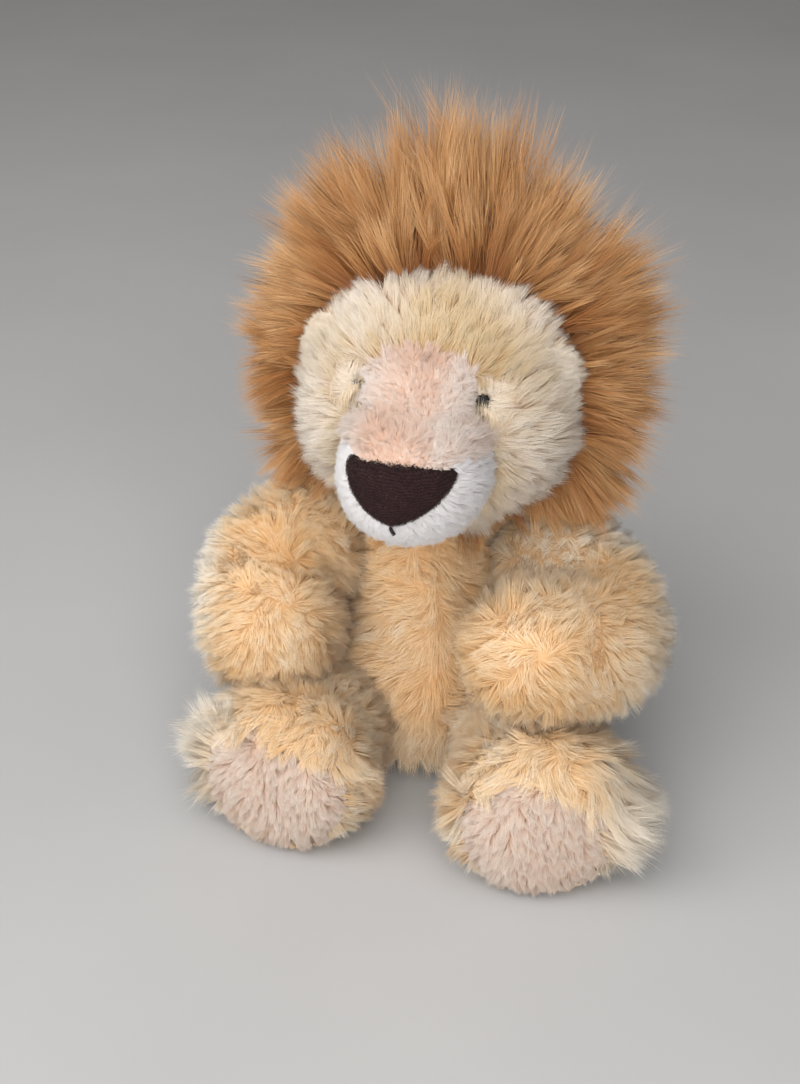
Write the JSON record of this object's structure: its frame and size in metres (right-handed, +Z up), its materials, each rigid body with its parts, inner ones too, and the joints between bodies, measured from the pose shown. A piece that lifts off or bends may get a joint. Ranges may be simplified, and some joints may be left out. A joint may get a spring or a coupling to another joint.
{
  "type": "plush lion",
  "caption": "Sitting plush lion with a long-haired mane, short-pile muzzle, dark nose patch, stuffed arms and legs with pads, and a tufted tail; head, limbs and tail flex at their sewn seams.",
  "frame": {"origin": "middle of the flat underside of the seat, on the surface the toy sits on", "axes": "+Z up, the lion faces -Y, its own left side is +X"},
  "size_m": [0.1441, 0.1501, 0.2225],
  "materials": {
    "mane_pile": "long combed pile",
    "face_pile": "medium pile",
    "bridge_pile": "short pile",
    "white_pile": "short pile",
    "nose_fleece": "knitted fleece",
    "body_pile": "tousled pile",
    "sole_pile": "short clumped pile",
    "eye": "gloss",
    "washer": "matte",
    "dark_thread": "twisted thread",
    "body_thread": "twisted thread",
    "filling": "polyester fibre",
    "pellets": "cloth bag of pellets"
  },
  "bodies": {
    "torso": {"torso_front_panel": "body_pile", "torso_back_panel": "body_pile", "seat_panel": "body_pile", "torso_stuffing": "filling", "pellet_bag": "pellets", "closing_stitch": "body_thread"},
    "neck": {"neck_stuffing": "filling"},
    "head": {"face_panel": "face_pile", "head_back_panel": "mane_pile", "head_stuffing": "filling", "muzzle_bridge_panel": "bridge_pile", "muzzle_chin_panel": "white_pile", "nose_patch": "nose_fleece", "mouth_stitch": "dark_thread", "left_eye": "eye", "left_eye_washer": "washer", "right_eye": "eye", "right_eye_washer": "washer", "left_ear_front": "face_pile", "left_ear_back": "mane_pile", "right_ear_front": "face_pile", "right_ear_back": "mane_pile", "mane_pile": "mane_pile"},
    "left_arm": {"left_arm_top_panel": "body_pile", "left_arm_under_panel": "body_pile", "left_arm_stuffing": "filling", "left_paw_pad": "sole_pile"},
    "right_arm": {"right_arm_top_panel": "body_pile", "right_arm_under_panel": "body_pile", "right_arm_stuffing": "filling", "right_paw_pad": "sole_pile"},
    "left_leg": {"left_leg_top_panel": "body_pile", "left_leg_under_panel": "body_pile", "left_leg_stuffing": "filling", "left_sole": "sole_pile"},
    "right_leg": {"right_leg_top_panel": "body_pile", "right_leg_under_panel": "body_pile", "right_leg_stuffing": "filling", "right_sole": "sole_pile"},
    "tail": {"tail_tube": "body_pile", "tail_tuft": "mane_pile"}
  },
  "joints": [
    {"name": "head_turn", "type": "hinge", "parent": "torso", "child": "neck", "pos_m": [0.002, -0.001, 0.0945], "axis": [0, 0, 1], "range_deg": [-20, 20], "stiffness_Nm_per_rad": 0.15},
    {"name": "head_nod", "type": "hinge", "parent": "neck", "child": "head", "pos_m": [0.002, -0.001, 0.0945], "axis": [1, 0, 0], "range_deg": [-8, 8], "stiffness_Nm_per_rad": 1},
    {"name": "left_arm_swing", "type": "hinge", "parent": "torso", "child": "left_arm", "pos_m": [0.043, -0.004, 0.074], "axis": [0, 0, 1], "range_deg": [-10, 45], "stiffness_Nm_per_rad": 0.04},
    {"name": "right_arm_swing", "type": "hinge", "parent": "torso", "child": "right_arm", "pos_m": [-0.041, -0.004, 0.077], "axis": [0, 0, -1], "range_deg": [0, 45], "stiffness_Nm_per_rad": 0.04},
    {"name": "left_leg_swing", "type": "hinge", "parent": "torso", "child": "left_leg", "pos_m": [0.025, -0.023, 0.0234], "axis": [1, 0, 0], "range_deg": [0, 40], "stiffness_Nm_per_rad": 0.1},
    {"name": "right_leg_swing", "type": "hinge", "parent": "torso", "child": "right_leg", "pos_m": [-0.025, -0.023, 0.0234], "axis": [1, 0, 0], "range_deg": [0, 40], "stiffness_Nm_per_rad": 0.1},
    {"name": "tail_swing", "type": "hinge", "parent": "torso", "child": "tail", "pos_m": [0, 0.034, 0.014], "axis": [0, 0, 1], "range_deg": [-10, 45], "stiffness_Nm_per_rad": 0.01}
  ]
}
